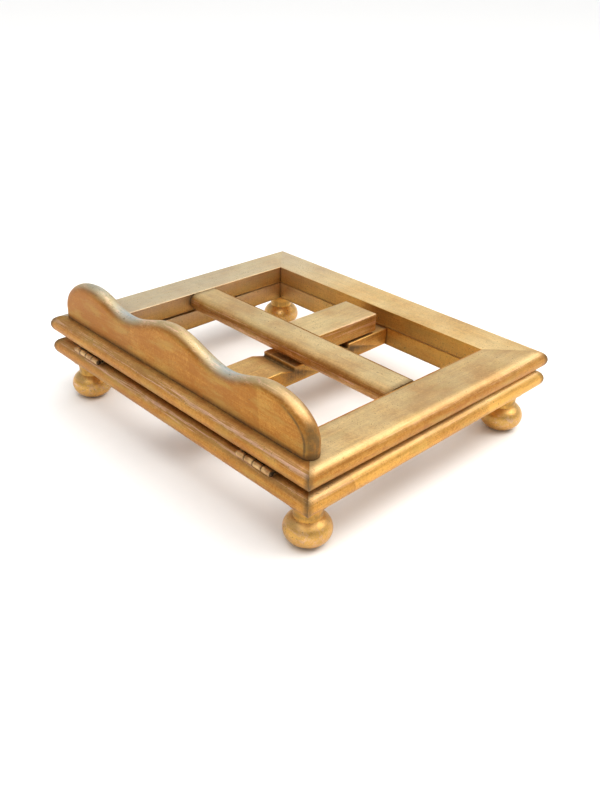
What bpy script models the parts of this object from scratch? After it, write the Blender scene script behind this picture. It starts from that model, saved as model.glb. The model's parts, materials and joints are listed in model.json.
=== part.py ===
"""Folding table lectern for a large book, in metres, +Z up, +X along the front edge from left to right.

A mitred top frame with a lobed book ledge is hinged along its front edge to a mitred base frame on
four turned feet. A T-shaped prop hangs in the top frame on two pins, and its stem drops into one of
the notches of a plank that crosses the base. The origin is on the table, under the middle.
"""

import math

import bmesh
import bpy
from mathutils import Matrix, Vector

# Gaps between neighbouring pieces, and how far a cutting shape reaches past the face that it opens
FIT_GAP = 0.0003
SWING_GAP = 0.0010
CUT_MARGIN = 0.0020

# Frames: the front and back rails run the full width, the side rails the full depth
WIDTH = 0.350
DEPTH = 0.296
TOP_THICKNESS = 0.0175
TOP_RAIL_WIDTH = 0.043
BASE_THICKNESS = 0.0185
BASE_RAIL_WIDTH = 0.040
BASE_SETBACK = 0.0005
ROUND_SEGMENTS = 12

# The closed lectern: the gap between the frames narrows from the hinges to the back
HINGE_GAP = 0.0050
BACK_GAP = 0.0010

# Feet
FOOT_HEIGHT = 0.041
FOOT_INSET = 0.024
FOOT_SOLE_RADIUS = 0.0075
BALL_RADIUS = 0.01925
BALL_HALF_HEIGHT = 0.0142
NECK_RADIUS = 0.0115
NECK_HEIGHT = 0.0035
COLLAR_RADIUS = 0.0165
COLLAR_HEIGHT = 0.0030
SPIGOT_RADIUS = 0.006
SPIGOT_HEIGHT = 0.0075
FOOT_SEGMENTS = 24
BALL_STEPS = 10
COVE_STEPS = 4

# Loose tongues in the mitres, measured along and across the mitre line
TONGUE_LENGTH = 0.026
TONGUE_WIDTH = 0.022
TONGUE_THICKNESS = 0.003
TONGUE_FROM_CORNER = 0.034
BASE_TONGUE_HEIGHT = 0.0115
TOP_TONGUE_HEIGHT = 0.0088

# Ratchet plank
PLANK_WIDTH = 0.042
PLANK_THICKNESS = 0.017
PLANK_DROP = 0.0005
PLANK_TENON_LENGTH = 0.012
PLANK_TENON_WIDTH = 0.030
PLANK_TENON_THICKNESS = 0.008
PLANK_TENON_DROP = 0.0011
NOTCH_COUNT = 4
NOTCH_PITCH = 0.0233
FIRST_WALL_Y = -0.0164
NOTCH_RAMP = 0.0150
NOTCH_DEPTH = 0.0044
NOTCH_ROOT_RADIUS = 0.0008
NOTCH_NOSE_RADIUS = 0.0012
NOTCH_ARC_STEPS = 4

# T-shaped prop, which turns about the middle of the crossbar's rounded front edge
CROSSBAR_FRONT_Y = -0.0175
CROSSBAR_WIDTH = 0.0315
STEM_WIDTH = 0.041
STEM_END_Y = 0.091
STEM_TENON_LENGTH = 0.018
STEM_TENON_WIDTH = 0.028
STEM_TENON_THICKNESS = 0.007
PIVOT_PIN_RADIUS = 0.0025
PIVOT_PIN_LENGTH = 0.030
PIVOT_PIN_IN_RAIL = 0.014

# Book ledge: a board on edge with a full half-round along its top and ends
LEDGE_LENGTH = 0.329
LEDGE_THICKNESS = 0.016
LEDGE_CENTRE_X = -0.0010
LEDGE_CENTRE_Y = -0.1292
LEDGE_MIDDLE_HEIGHT = 0.0450
LEDGE_SIDE_HEIGHT = 0.0415
LEDGE_DIP_HEIGHT = 0.0310
LEDGE_DIP_X = 0.066
LEDGE_LOBE_X = 0.1174
LEDGE_END_STRAIGHT = 0.010
LEDGE_END_STEPS = 8
LEDGE_WAVE_STEPS = 7
LEDGE_ROUND_STEPS = 8

# Butt hinges
HINGE_AXIS_Y = -0.1455
HINGE_CENTRE_X = 0.1154
KNUCKLE_COUNT = 4
KNUCKLE_LENGTH = 0.0093
KNUCKLE_RADIUS = 0.0025
KNUCKLE_SEGMENTS = 16
LEAF_REACH = 0.022
LEAF_THICKNESS = 0.0012
LEAF_CLEARANCE = 0.0004
HINGE_PIN_RADIUS = 0.0011
HINGE_PIN_HEAD_RADIUS = 0.0019
HINGE_PIN_HEAD_LENGTH = 0.0005
HINGE_SCREW_PLACES = ((-0.013, 0.016), (0.0, 0.0125), (0.013, 0.016))

# Countersunk wood screws: head radius, shank radius, length
HINGE_SCREW = (0.0028, 0.0014, 0.012)
LEDGE_SCREW = (0.0040, 0.0020, 0.032)
LEDGE_SCREW_X = (-0.060, 0.0, 0.060)
SCREW_SEGMENTS = 12
SCREW_RIM = 0.0002
SCREW_TIP_LENGTH = 0.003
SCREW_TIP_SHARE = 0.3
SLOT_WIDTH = 0.0008
SLOT_DEPTH = 0.0006

# Finishes: name, colour, roughness, metallic
GILT_FINISH = ("gold_leaf", (0.72, 0.50, 0.22), 0.42, 0.65)
WOOD_FINISH = ("bare_wood", (0.55, 0.38, 0.22), 0.70, 0.0)
BRASS_FINISH = ("gilded_brass", (0.66, 0.42, 0.20), 0.40, 0.8)
STEEL_FINISH = ("steel", (0.50, 0.46, 0.40), 0.35, 1.0)

# Edges that turn more sharply than this, in degrees, are shaded as edges
SHARP_ANGLE = 32
WELD_DISTANCE = 0.00001

# Derived places
BASE_TOP_Z = FOOT_HEIGHT + BASE_THICKNESS
HINGE_AXIS = Vector((0.0, HINGE_AXIS_Y, BASE_TOP_Z + HINGE_GAP / 2))
CLOSED_TILT = math.atan2(HINGE_GAP - BACK_GAP, DEPTH / 2 - HINGE_AXIS_Y)
TOP_UNDERSIDE = HINGE_GAP / 2
TOP_MIDDLE = TOP_UNDERSIDE + TOP_THICKNESS / 2
TOP_SURFACE = TOP_UNDERSIDE + TOP_THICKNESS
PIVOT_Y = CROSSBAR_FRONT_Y + TOP_THICKNESS / 2
CROSSBAR_LENGTH = WIDTH - 2 * TOP_RAIL_WIDTH - 2 * SWING_GAP
HINGE_LENGTH = KNUCKLE_COUNT * KNUCKLE_LENGTH + (KNUCKLE_COUNT - 1) * FIT_GAP

CORNERS = {
    "front_left": (-1, -1),
    "front_right": (1, -1),
    "back_left": (-1, 1),
    "back_right": (1, 1),
}


def clear_scene():
    for obj in list(bpy.data.objects):
        bpy.data.objects.remove(obj, do_unlink=True)


def make_material(name, color, roughness, metallic):
    material = bpy.data.materials.new(name)
    material.use_nodes = True
    shader = material.node_tree.nodes["Principled BSDF"]
    shader.inputs["Base Color"].default_value = (*color, 1.0)
    shader.inputs["Roughness"].default_value = roughness
    shader.inputs["Metallic"].default_value = metallic
    return material


def add_empty(name, location, parent=None, tilt=0.0):
    empty = bpy.data.objects.new(name, None)
    empty.empty_display_type = "ARROWS"
    empty.empty_display_size = 0.02
    empty.location = location
    empty.rotation_euler.x = tilt
    empty.parent = parent
    bpy.context.scene.collection.objects.link(empty)
    return empty


def finish_mesh(name, bm, material=None):
    """Turns a bmesh into a mesh whose faces point out and whose round parts are shaded smooth."""
    bmesh.ops.recalc_face_normals(bm, faces=bm.faces)
    mesh = bpy.data.meshes.new(name)
    bm.to_mesh(mesh)
    bm.free()
    mesh.shade_smooth()
    mesh.set_sharp_from_angle(angle=math.radians(SHARP_ANGLE))
    if material:
        mesh.materials.append(material)
    return mesh


def add_object(name, mesh, location=(0.0, 0.0, 0.0), turn=(0.0, 0.0, 0.0), parent=None):
    obj = bpy.data.objects.new(name, mesh)
    obj.location = location
    obj.rotation_euler = turn
    obj.parent = parent
    bpy.context.scene.collection.objects.link(obj)
    return obj


def add_cutter(name, bm, parent=None):
    cutter = add_object(name, finish_mesh(name, bm), parent=parent)
    cutter.hide_render = True
    cutter.display_type = "WIRE"
    return cutter


def cut(obj, cutter):
    modifier = obj.modifiers.new(cutter.name, "BOOLEAN")
    modifier.operation = "DIFFERENCE"
    modifier.solver = "EXACT"
    modifier.object = cutter


def cut_mesh(mesh, cutter_bm, material):
    """The mesh with the cutter's shapes removed, for a piece that is used more than once."""
    blank = add_object(mesh.name + "_blank", mesh)
    cutter = add_cutter(mesh.name + "_cutter", cutter_bm)
    cut(blank, cutter)
    graph = bpy.context.evaluated_depsgraph_get()
    carved = bpy.data.meshes.new_from_object(blank.evaluated_get(graph))
    carved.name = mesh.name
    carved.materials.clear()
    carved.materials.append(material)
    bpy.data.objects.remove(blank)
    bpy.data.objects.remove(cutter)
    return carved


def add_block(bm, centre, size, turn_z=0.0):
    place = Matrix.Translation(centre) @ Matrix.Rotation(turn_z, 4, "Z") @ Matrix.Diagonal((*size, 1.0))
    bmesh.ops.create_cube(bm, size=1.0, matrix=place)


def add_round(bm, start, end, start_radius, end_radius, segments=SCREW_SEGMENTS):
    """A closed cylinder or cone from one point to another."""
    start = Vector(start)
    along = Vector(end) - start
    turn = Vector((0.0, 0.0, 1.0)).rotation_difference(along).to_matrix().to_4x4()
    place = Matrix.Translation(start + along / 2) @ turn
    bmesh.ops.create_cone(
        bm,
        cap_ends=True,
        segments=segments,
        radius1=start_radius,
        radius2=end_radius,
        depth=along.length,
        matrix=place,
    )


def loft(bm, rings):
    """Joins rings with equal numbers of points into a closed solid."""
    loops = [[bm.verts.new(point) for point in ring] for ring in rings]
    count = len(loops[0])
    for lower, upper in zip(loops, loops[1:]):
        for i in range(count):
            j = (i + 1) % count
            bm.faces.new((lower[i], lower[j], upper[j], upper[i]))
    bm.faces.new(loops[0])
    bm.faces.new(loops[-1])


def turned(profile, segments):
    """Spins a profile of (radius, height) points about Z. It starts and ends on the axis."""
    bm = bmesh.new()
    points = [bm.verts.new((radius, 0.0, height)) for radius, height in profile]
    edges = [bm.edges.new(pair) for pair in zip(points, points[1:])]
    bmesh.ops.spin(
        bm,
        geom=points + edges,
        cent=(0.0, 0.0, 0.0),
        axis=(0.0, 0.0, 1.0),
        angle=2 * math.pi,
        steps=segments,
    )
    bmesh.ops.remove_doubles(bm, verts=bm.verts, dist=WELD_DISTANCE)
    return bm


def arc(centre, radius_x, radius_y, start, end, steps):
    """Points on part of an ellipse, with the angles in degrees."""
    angles = [math.radians(start + (end - start) * i / steps) for i in range(steps + 1)]
    return [(centre[0] + radius_x * math.cos(a), centre[1] + radius_y * math.sin(a)) for a in angles]


def bullnose_section(width, thickness):
    """(distance from the outer edge, height) round a strip whose outer edge is a half-round."""
    radius = thickness / 2
    nose = arc((radius, radius), radius, radius, 270, 90, ROUND_SEGMENTS)
    return nose + [(width, thickness), (width, 0.0)]


def rail_mesh(name, length, width, thickness, material):
    """A rail along X whose outer edge is at y = 0. Its ends are mitred, each short by half the fit gap."""
    section = bullnose_section(width, thickness)
    shift = FIT_GAP / math.sqrt(2)
    rings = []
    for side in (-1, 1):
        rings.append([(side * (length / 2 - inward - shift), inward, height) for inward, height in section])
    bm = bmesh.new()
    loft(bm, rings)
    return finish_mesh(name, bm, material)


def add_frame(prefix, width, depth, rail_width, thickness, centre, material, parent=None):
    """Four mitred rails in a rectangle round centre, which is on their underside."""
    wide = rail_mesh(prefix + "_long_rail", width, rail_width, thickness, material)
    deep = rail_mesh(prefix + "_side_rail", depth, rail_width, thickness, material)
    places = {
        "front": (wide, (0.0, -depth / 2), 0),
        "right": (deep, (width / 2, 0.0), 90),
        "back": (wide, (0.0, depth / 2), 180),
        "left": (deep, (-width / 2, 0.0), 270),
    }
    rails = {}
    for side, (mesh, (x, y), degrees) in places.items():
        location = Vector(centre) + Vector((x, y, 0.0))
        turn = (0.0, 0.0, math.radians(degrees))
        rails[side] = add_object(f"{prefix}_{side}_rail", mesh.copy(), location, turn, parent)
    return rails


def corner_place(corner, width, depth, along_mitre):
    """(x, y) of a point on the mitre line, measured from the frame's outer corner."""
    step = along_mitre / math.sqrt(2)
    side_x, side_y = CORNERS[corner]
    return side_x * (width / 2 - step), side_y * (depth / 2 - step)


def mitre_angle(corner):
    side_x, side_y = CORNERS[corner]
    return math.atan2(side_y, side_x)


def add_tongues(prefix, width, depth, centre, height, material, parent=None):
    bm = bmesh.new()
    add_block(bm, (0.0, 0.0, 0.0), (TONGUE_LENGTH, TONGUE_WIDTH, TONGUE_THICKNESS))
    mesh = finish_mesh(prefix + "_tongue", bm, material)
    for corner in CORNERS:
        x, y = corner_place(corner, width, depth, TONGUE_FROM_CORNER)
        location = Vector(centre) + Vector((x, y, height))
        add_object(f"{prefix}_tongue_{corner}", mesh, location, (0.0, 0.0, mitre_angle(corner)), parent)


def add_tongue_slots(bm, width, depth, centre, height):
    size = [side + 2 * FIT_GAP for side in (TONGUE_LENGTH, TONGUE_WIDTH, TONGUE_THICKNESS)]
    for corner in CORNERS:
        x, y = corner_place(corner, width, depth, TONGUE_FROM_CORNER)
        add_block(bm, Vector(centre) + Vector((x, y, height)), size, mitre_angle(corner))


def foot_profile():
    """From the sole up: flattened ball, neck, cove, collar and the spigot that enters the frame."""
    sole_angle = math.degrees(math.acos(FOOT_SOLE_RADIUS / BALL_RADIUS))
    neck_angle = math.degrees(math.acos(NECK_RADIUS / BALL_RADIUS))
    ball_z = BALL_HALF_HEIGHT * math.sin(math.radians(sole_angle))
    ball = arc((0.0, ball_z), BALL_RADIUS, BALL_HALF_HEIGHT, -sole_angle, neck_angle, BALL_STEPS)
    collar_low = FOOT_HEIGHT - FIT_GAP - COLLAR_HEIGHT
    cove_low = ball[-1][1] + NECK_HEIGHT
    cove_width = COLLAR_RADIUS - NECK_RADIUS
    cove = arc((COLLAR_RADIUS, cove_low), cove_width, collar_low - cove_low, 180, 90, COVE_STEPS)
    collar = [(COLLAR_RADIUS, FOOT_HEIGHT - FIT_GAP), (SPIGOT_RADIUS, FOOT_HEIGHT - FIT_GAP)]
    spigot_top = FOOT_HEIGHT + SPIGOT_HEIGHT
    return [(0.0, 0.0)] + ball + cove + collar + [(SPIGOT_RADIUS, spigot_top), (0.0, spigot_top)]


def add_feet(material):
    mesh = finish_mesh("foot", turned(foot_profile(), FOOT_SEGMENTS), material)
    for corner, (x, y) in foot_places().items():
        add_object("foot_" + corner, mesh, (x, y, 0.0))


def foot_places():
    width = WIDTH - 2 * BASE_SETBACK
    depth = DEPTH - 2 * BASE_SETBACK
    return {corner: corner_place(corner, width, depth, FOOT_INSET * math.sqrt(2)) for corner in CORNERS}


def add_spigot_holes(bm):
    radius = SPIGOT_RADIUS + FIT_GAP
    top = FOOT_HEIGHT + SPIGOT_HEIGHT + FIT_GAP
    for x, y in foot_places().values():
        add_round(bm, (x, y, FOOT_HEIGHT - CUT_MARGIN), (x, y, top), radius, radius, FOOT_SEGMENTS)


def rectangle_ring(y, width, low, high):
    half = width / 2
    return [(-half, y, low), (half, y, low), (half, y, high), (-half, y, high)]


def plank_tenon_z():
    plank_top = BASE_TOP_Z - PLANK_DROP
    middle = plank_top - PLANK_THICKNESS / 2 - PLANK_TENON_DROP
    return middle - PLANK_TENON_THICKNESS / 2, middle + PLANK_TENON_THICKNESS / 2


def add_plank(material):
    """The plank between the front and back rails, with a tenon at each end and notches in its top."""
    top = BASE_TOP_Z - PLANK_DROP
    bottom = top - PLANK_THICKNESS
    shoulder = DEPTH / 2 - BASE_SETBACK - BASE_RAIL_WIDTH - FIT_GAP
    end = shoulder + PLANK_TENON_LENGTH
    low, high = plank_tenon_z()
    half = [
        rectangle_ring(end, PLANK_TENON_WIDTH, low, high),
        rectangle_ring(shoulder, PLANK_TENON_WIDTH, low, high),
        rectangle_ring(shoulder, PLANK_WIDTH, bottom, top),
    ]
    other_half = [[(x, -y, z) for x, y, z in ring] for ring in reversed(half)]
    bm = bmesh.new()
    loft(bm, half + other_half)
    plank = add_object("ratchet_plank", finish_mesh("ratchet_plank", bm, material))
    cut(plank, add_notch_cutter(top))


def notch_section():
    """(y, z) round one notch, from its ramp to its upright wall, with z = 0 at the plank's top."""
    root = NOTCH_ROOT_RADIUS
    nose = NOTCH_NOSE_RADIUS
    slope = math.degrees(math.atan2(NOTCH_DEPTH, NOTCH_RAMP))
    floor = arc((-root, -NOTCH_DEPTH + root), root, root, 270 - slope, 360, NOTCH_ARC_STEPS)
    brow = arc((nose, -nose), nose, nose, 180, 90, NOTCH_ARC_STEPS)
    return [(-NOTCH_RAMP, CUT_MARGIN), (-NOTCH_RAMP, 0.0)] + floor + brow + [(nose, CUT_MARGIN)]


def add_notch_cutter(plank_top):
    bm = bmesh.new()
    section = notch_section()
    for i in range(NOTCH_COUNT):
        wall_y = FIRST_WALL_Y + i * NOTCH_PITCH
        rings = []
        for x in (-PLANK_WIDTH, PLANK_WIDTH):
            rings.append([(x, wall_y + y, plank_top + z) for y, z in section])
        loft(bm, rings)
    return add_cutter("notch_cutter", bm)


def add_plank_mortises(bm):
    low, high = plank_tenon_z()
    inner = DEPTH / 2 - BASE_SETBACK - BASE_RAIL_WIDTH
    start = inner - CUT_MARGIN
    end = inner + PLANK_TENON_LENGTH
    size = (PLANK_TENON_WIDTH + 2 * FIT_GAP, end - start, high - low + 2 * FIT_GAP)
    for side in (-1, 1):
        add_block(bm, (0.0, side * (start + end) / 2, (low + high) / 2), size)


def add_base(gilt, wood):
    """The base frame with its tongues, the plank and the feet."""
    width = WIDTH - 2 * BASE_SETBACK
    depth = DEPTH - 2 * BASE_SETBACK
    centre = (0.0, 0.0, FOOT_HEIGHT)
    rails = add_frame("base", width, depth, BASE_RAIL_WIDTH, BASE_THICKNESS, centre, gilt)
    bm = bmesh.new()
    add_tongue_slots(bm, width, depth, centre, BASE_TONGUE_HEIGHT)
    add_spigot_holes(bm)
    add_plank_mortises(bm)
    add_hinge_screw_holes(bm, HINGE_AXIS, -1)
    cutter = add_cutter("base_joint_cutter", bm)
    for rail in rails.values():
        cut(rail, cutter)
    add_tongues("base", width, depth, centre, BASE_TONGUE_HEIGHT, wood)
    add_plank(gilt)
    add_feet(gilt)


def ledge_outline():
    """(x, z) over the ledge's top from its right foot to its left foot."""
    half = LEDGE_LENGTH / 2
    end_reach = half - LEDGE_LOBE_X
    end_rise = LEDGE_SIDE_HEIGHT - LEDGE_END_STRAIGHT
    end = arc((LEDGE_LOBE_X, LEDGE_END_STRAIGHT), end_reach, end_rise, 0, 90, LEDGE_END_STEPS)
    right = [(half, 0.0)] + end
    right += wave((LEDGE_LOBE_X, LEDGE_SIDE_HEIGHT), (LEDGE_DIP_X, LEDGE_DIP_HEIGHT))
    right += wave((LEDGE_DIP_X, LEDGE_DIP_HEIGHT), (0.0, LEDGE_MIDDLE_HEIGHT))
    left = [(-x, z) for x, z in reversed(right[:-1])]
    return right + left


def wave(start, end):
    """Half a cosine wave between two level points, without the first of them."""
    points = []
    for i in range(1, LEDGE_WAVE_STEPS + 1):
        part = i / LEDGE_WAVE_STEPS
        ease = (1 - math.cos(math.pi * part)) / 2
        points.append((start[0] + (end[0] - start[0]) * part, start[1] + (end[1] - start[1]) * ease))
    return points


def inset_outline(points, distance):
    """The outline moved inwards, with its two feet kept on z = 0."""
    moved = []
    for i, (x, z) in enumerate(points):
        before = Vector(points[max(i - 1, 0)])
        after = Vector(points[min(i + 1, len(points) - 1)])
        along = (after - before).normalized()
        moved.append((x - along.y * distance, z + along.x * distance))
    moved[0] = (points[0][0] - distance, 0.0)
    moved[-1] = (points[-1][0] + distance, 0.0)
    return moved


def add_ledge(gilt, hinge):
    outline = ledge_outline()
    radius = LEDGE_THICKNESS / 2
    rings = []
    for y, inset in arc((0.0, radius), radius, -radius, 180, 0, LEDGE_ROUND_STEPS):
        rings.append([(x, y, z) for x, z in inset_outline(outline, inset)])
    bm = bmesh.new()
    loft(bm, rings)
    place = (LEDGE_CENTRE_X, LEDGE_CENTRE_Y - HINGE_AXIS_Y, TOP_SURFACE + FIT_GAP)
    ledge = add_object("book_ledge", finish_mesh("book_ledge", bm, gilt), place, parent=hinge)
    holes = bmesh.new()
    add_ledge_screw_holes(holes)
    cut(ledge, add_cutter("ledge_screw_cutter", holes, hinge))


def ledge_screw_places():
    """Where the ledge screws' heads lie, just inside the top frame's underside."""
    y = LEDGE_CENTRE_Y - HINGE_AXIS_Y
    return [Vector((x, y, TOP_UNDERSIDE)) for x in LEDGE_SCREW_X]


def add_screw_hole(bm, place, screw, up):
    """A clearance hole with a countersink, for a screw that is driven along Z."""
    head, shank, length = screw
    rim = head + FIT_GAP * math.sqrt(2)
    bore = shank + FIT_GAP
    profile = [
        (0.0, -CUT_MARGIN),
        (rim + CUT_MARGIN, -CUT_MARGIN),
        (bore, rim - bore),
        (bore, length + FIT_GAP),
        (0.0, length + FIT_GAP),
    ]
    hole = turned(profile, SCREW_SEGMENTS)
    hole.transform(Matrix.Translation(place) @ Matrix.Diagonal((1.0, 1.0, up, 1.0)))
    mesh = bpy.data.meshes.new("screw_hole")
    hole.to_mesh(mesh)
    hole.free()
    bm.from_mesh(mesh)
    bpy.data.meshes.remove(mesh)


def add_ledge_screw_holes(bm):
    for place in ledge_screw_places():
        add_screw_hole(bm, place, LEDGE_SCREW, 1)


def hinge_screw_places(side, up):
    """Screw heads in a leaf's outer face, measured from the hinge axis."""
    face = up * (HINGE_GAP / 2 - FIT_GAP - LEAF_THICKNESS)
    return [Vector((side * HINGE_CENTRE_X + x, y, face)) for x, y in HINGE_SCREW_PLACES]


def add_hinge_screw_holes(bm, origin, up):
    """Straight pilot holes in a rail for the screws of both hinges."""
    head, shank, length = HINGE_SCREW
    radius = shank + FIT_GAP
    for side in (-1, 1):
        for place in hinge_screw_places(side, up):
            start = origin + place
            tip = start + Vector((0.0, 0.0, up * (length + FIT_GAP)))
            add_round(bm, start, tip, radius, radius)


def screw_mesh(name, screw, material):
    """A countersunk wood screw with its slotted head at z = 0, pointing down."""
    head, shank, length = screw
    sink = head - shank
    profile = [
        (0.0, -length),
        (shank * SCREW_TIP_SHARE, -length),
        (shank, -length + SCREW_TIP_LENGTH),
        (shank, -sink - SCREW_RIM),
        (head, -SCREW_RIM),
        (head, 0.0),
        (0.0, 0.0),
    ]
    mesh = finish_mesh(name, turned(profile, SCREW_SEGMENTS))
    slot = bmesh.new()
    add_block(slot, (0.0, 0.0, 0.0), (3 * head, SLOT_WIDTH, 2 * SLOT_DEPTH))
    return cut_mesh(mesh, slot, material)


def leaf_mesh(material):
    """The leaf under the pin: a plate behind the axis, with the first and third knuckles round it."""
    low = -HINGE_GAP / 2 + FIT_GAP
    high = low + LEAF_THICKNESS
    front = KNUCKLE_RADIUS + LEAF_CLEARANCE
    bm = bmesh.new()
    bounds = leaf_bounds()
    upper = [bm.verts.new((x, front, high)) for x in bounds]
    lower = [bm.verts.new((x, front, low)) for x in bounds]
    back = []
    for x, z in ((bounds[0], high), (bounds[-1], high), (bounds[-1], low), (bounds[0], low)):
        back.append(bm.verts.new((x, LEAF_REACH, z)))
    bm.faces.new(upper + [back[1], back[0]])
    bm.faces.new(lower + [back[2], back[3]])
    bm.faces.new(back)
    bm.faces.new((upper[0], lower[0], back[3], back[0]))
    bm.faces.new((upper[-1], lower[-1], back[2], back[1]))
    for i in range(len(bounds) - 1):
        corners = (upper[i], upper[i + 1], lower[i + 1], lower[i])
        if i % 2 == 0:
            add_knuckle(bm, corners, low, high)
        else:
            bm.faces.new(corners)
    return cut_mesh(finish_mesh("hinge_leaf", bm), leaf_holes(), material)


def leaf_bounds():
    """The x of each end of the leaf's own knuckles, which are every second one, and of its far end."""
    bounds = []
    for i in range(0, KNUCKLE_COUNT, 2):
        start = -HINGE_LENGTH / 2 + i * (KNUCKLE_LENGTH + FIT_GAP)
        bounds += [start, start + KNUCKLE_LENGTH]
    return bounds + [HINGE_LENGTH / 2]


def add_knuckle(bm, corners, low, high):
    """Rolls the plate round the pin between two of its places along the hinge."""
    start = math.degrees(math.asin(high / KNUCKLE_RADIUS))
    end = 360 + math.degrees(math.asin(low / KNUCKLE_RADIUS))
    curl = arc((0.0, 0.0), KNUCKLE_RADIUS, KNUCKLE_RADIUS, start, end, KNUCKLE_SEGMENTS)
    top_left, top_right, bottom_right, bottom_left = corners
    left = [bm.verts.new((top_left.co.x, y, z)) for y, z in curl]
    right = [bm.verts.new((top_right.co.x, y, z)) for y, z in curl]
    left = [top_left] + left + [bottom_left]
    right = [top_right] + right + [bottom_right]
    for i in range(len(left) - 1):
        bm.faces.new((left[i], left[i + 1], right[i + 1], right[i]))
    bm.faces.new(left)
    bm.faces.new(right)


def leaf_holes():
    """The pin's bore and the countersunk screw holes."""
    bm = bmesh.new()
    bore = HINGE_PIN_RADIUS + FIT_GAP
    reach = HINGE_LENGTH
    add_round(bm, (-reach, 0.0, 0.0), (reach, 0.0, 0.0), bore, bore)
    face = -HINGE_GAP / 2 + FIT_GAP + LEAF_THICKNESS
    for x, y in HINGE_SCREW_PLACES:
        add_screw_hole(bm, Vector((x, y, face)), HINGE_SCREW, -1)
    return bm


def hinge_pin_mesh(material):
    """A pin along Z with a small head at each end."""
    neck = HINGE_LENGTH / 2 + FIT_GAP
    end = neck + HINGE_PIN_HEAD_LENGTH
    upper = [(HINGE_PIN_RADIUS, neck), (HINGE_PIN_HEAD_RADIUS, neck), (HINGE_PIN_HEAD_RADIUS, end)]
    lower = [(radius, -z) for radius, z in reversed(upper)]
    profile = [(0.0, -end)] + lower + upper + [(0.0, end)]
    return finish_mesh("hinge_pin", turned(profile, SCREW_SEGMENTS), material)


def add_hinges(brass, steel, hinge):
    """Two butt hinges. The upper leaf is the lower one turned over, so that their knuckles alternate."""
    leaf = leaf_mesh(brass)
    pin = hinge_pin_mesh(brass)
    screw = screw_mesh("hinge_screw", HINGE_SCREW, steel)
    for name, side in (("left", -1), ("right", 1)):
        place = Vector((side * HINGE_CENTRE_X, 0.0, 0.0))
        add_object(f"hinge_{name}_base_leaf", leaf, HINGE_AXIS + place)
        add_object(f"hinge_{name}_top_leaf", leaf, place, (0.0, math.pi, 0.0), hinge)
        add_object(f"hinge_{name}_pin", pin, HINGE_AXIS + place, (0.0, math.pi / 2, 0.0))
        for i, spot in enumerate(hinge_screw_places(side, -1), 1):
            add_object(f"hinge_{name}_base_screw_{i}", screw, HINGE_AXIS + spot)
        for i, spot in enumerate(hinge_screw_places(side, 1), 1):
            add_object(f"hinge_{name}_top_screw_{i}", screw, spot, (math.pi, 0.0, 0.0), hinge)


def pivot_pin_span(side):
    """The x of a pivot pin's two ends: one in the side rail, one in the crossbar."""
    rail_face = WIDTH / 2 - TOP_RAIL_WIDTH
    outer = rail_face + PIVOT_PIN_IN_RAIL
    return side * (outer - PIVOT_PIN_LENGTH), side * outer


def add_pivot_holes(bm, y, z):
    radius = PIVOT_PIN_RADIUS + FIT_GAP
    for side in (-1, 1):
        inner, outer = pivot_pin_span(side)
        start = (inner - side * FIT_GAP, y, z)
        end = (outer + side * FIT_GAP, y, z)
        add_round(bm, start, end, radius, radius)


def add_top_frame(gilt, wood, steel, hinge):
    """The top frame with its tongues, pins, ledge and ledge screws, measured from the hinge axis."""
    centre = (0.0, -HINGE_AXIS_Y, TOP_UNDERSIDE)
    rails = add_frame("top", WIDTH, DEPTH, TOP_RAIL_WIDTH, TOP_THICKNESS, centre, gilt, hinge)
    bm = bmesh.new()
    add_tongue_slots(bm, WIDTH, DEPTH, centre, TOP_TONGUE_HEIGHT)
    add_pivot_holes(bm, PIVOT_Y - HINGE_AXIS_Y, TOP_MIDDLE)
    add_hinge_screw_holes(bm, Vector((0.0, 0.0, 0.0)), 1)
    add_ledge_screw_holes(bm)
    cutter = add_cutter("top_joint_cutter", bm, hinge)
    for rail in rails.values():
        cut(rail, cutter)
    add_tongues("top", WIDTH, DEPTH, centre, TOP_TONGUE_HEIGHT, wood, hinge)
    add_ledge(gilt, hinge)
    screw = screw_mesh("ledge_screw", LEDGE_SCREW, steel)
    for name, place in zip(("left", "centre", "right"), ledge_screw_places()):
        add_object("ledge_screw_" + name, screw, place, (math.pi, 0.0, 0.0), hinge)


def add_pivot_pins(steel, hinge):
    bm = bmesh.new()
    half = Vector((PIVOT_PIN_LENGTH / 2, 0.0, 0.0))
    add_round(bm, -half, half, PIVOT_PIN_RADIUS, PIVOT_PIN_RADIUS)
    mesh = finish_mesh("pivot_pin", bm, steel)
    for name, side in (("left", -1), ("right", 1)):
        middle = sum(pivot_pin_span(side)) / 2
        add_object("pivot_pin_" + name, mesh, (middle, PIVOT_Y - HINGE_AXIS_Y, TOP_MIDDLE), parent=hinge)


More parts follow.
